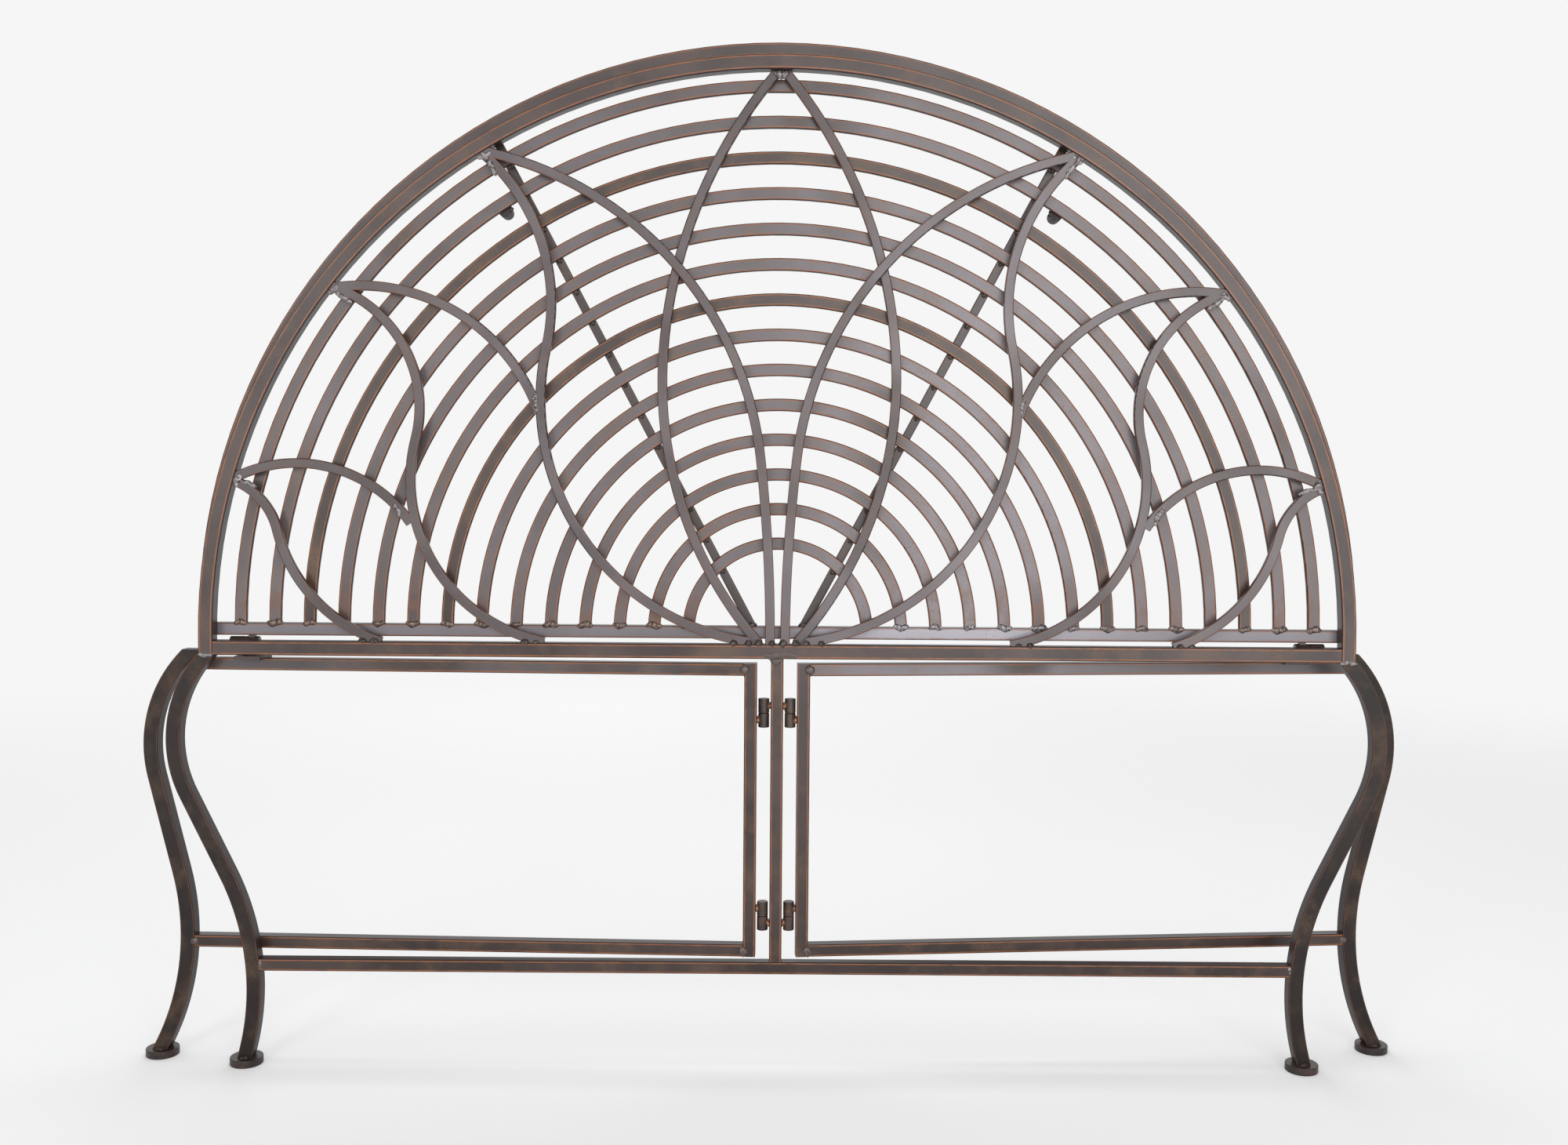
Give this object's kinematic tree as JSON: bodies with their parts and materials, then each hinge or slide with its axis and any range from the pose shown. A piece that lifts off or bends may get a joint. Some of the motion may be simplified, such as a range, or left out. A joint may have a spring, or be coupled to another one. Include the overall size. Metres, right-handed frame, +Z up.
{
  "type": "folding garden bench",
  "caption": "Folding half-round garden bench of painted steel bar: arched back with petal tracery, slatted demilune seat that folds up behind it and gate legs that swing out to carry the seat.",
  "frame": {"origin": "on the floor, under the middle of the bounding box of the bench as drawn, folded flat", "axes": "+X to the right across the width, +Y towards the side the seat folds out to, +Z up"},
  "size_m": [1.3462, 0.0901, 1.0657],
  "materials": {
    "frame_paint": "bronze-brown paint, edges rubbed to copper",
    "tracery_paint": "taupe-brown paint, edges rubbed to copper",
    "seat_paint": "taupe-brown paint, edges rubbed to copper",
    "gate_paint": "bronze-brown paint, edges rubbed to copper",
    "hinge_paint": "dark paint over rubbed metal",
    "foot_paint": "dark bronze-brown paint"
  },
  "bodies": {
    "frame": {"back_arch": "frame_paint", "back_rail": "frame_paint", "centre_post": "frame_paint", "stretcher": "frame_paint", "left_leg": "frame_paint", "right_leg": "frame_paint", "frame_feet": "foot_paint", "gate_hinge_barrels": "hinge_paint", "gate_hinge_pins": "hinge_paint", "rail_hinge_barrels": "hinge_paint", "seat_hinge_pins": "hinge_paint", "left_centre_petal": "tracery_paint", "left_high_petal_inner": "tracery_paint", "left_high_petal_outer": "tracery_paint", "left_middle_petal_upper": "tracery_paint", "left_middle_petal_lower": "tracery_paint", "left_low_petal_upper": "tracery_paint", "left_low_petal_lower": "tracery_paint", "right_centre_petal": "tracery_paint", "right_high_petal_inner": "tracery_paint", "right_high_petal_outer": "tracery_paint", "right_middle_petal_upper": "tracery_paint", "right_middle_petal_lower": "tracery_paint", "right_low_petal_upper": "tracery_paint", "right_low_petal_lower": "tracery_paint"},
    "seat": {"seat_bar": "seat_paint", "seat_rim": "seat_paint", "left_rod": "seat_paint", "right_rod": "seat_paint", "seat_studs": "seat_paint", "seat_hinge_barrels": "hinge_paint", "slat_01": "seat_paint", "slat_02": "seat_paint", "slat_03": "seat_paint", "slat_04": "seat_paint", "slat_05": "seat_paint", "slat_06": "seat_paint", "slat_07": "seat_paint", "slat_08": "seat_paint", "slat_09": "seat_paint", "slat_10": "seat_paint", "slat_11": "seat_paint", "slat_12": "seat_paint", "slat_13": "seat_paint", "slat_14": "seat_paint"},
    "left_gate": {"left_gate_post": "gate_paint", "left_gate_top_rail": "gate_paint", "left_gate_bottom_rail": "gate_paint", "left_gate_leg": "gate_paint", "left_gate_foot": "foot_paint", "left_gate_tab": "gate_paint", "left_gate_barrels": "hinge_paint"},
    "right_gate": {"right_gate_post": "gate_paint", "right_gate_top_rail": "gate_paint", "right_gate_bottom_rail": "gate_paint", "right_gate_leg": "gate_paint", "right_gate_foot": "foot_paint", "right_gate_tab": "gate_paint", "right_gate_barrels": "hinge_paint"}
  },
  "joints": [
    {"name": "seat_fold", "type": "hinge", "parent": "frame", "child": "seat", "pos_m": [0.00103, -0.01436, 0.447], "axis": [-1, 0, 0], "range_deg": [0, 90]},
    {"name": "left_gate_swing", "type": "hinge", "parent": "frame", "child": "left_gate", "pos_m": [-0.01272, -0.02806, 0.275], "axis": [0, 0, -1], "range_deg": [0, 59.46]},
    {"name": "right_gate_swing", "type": "hinge", "parent": "frame", "child": "right_gate", "pos_m": [0.01478, -0.02806, 0.275], "axis": [0, 0, 1], "range_deg": [-3, 56.46]}
  ]
}
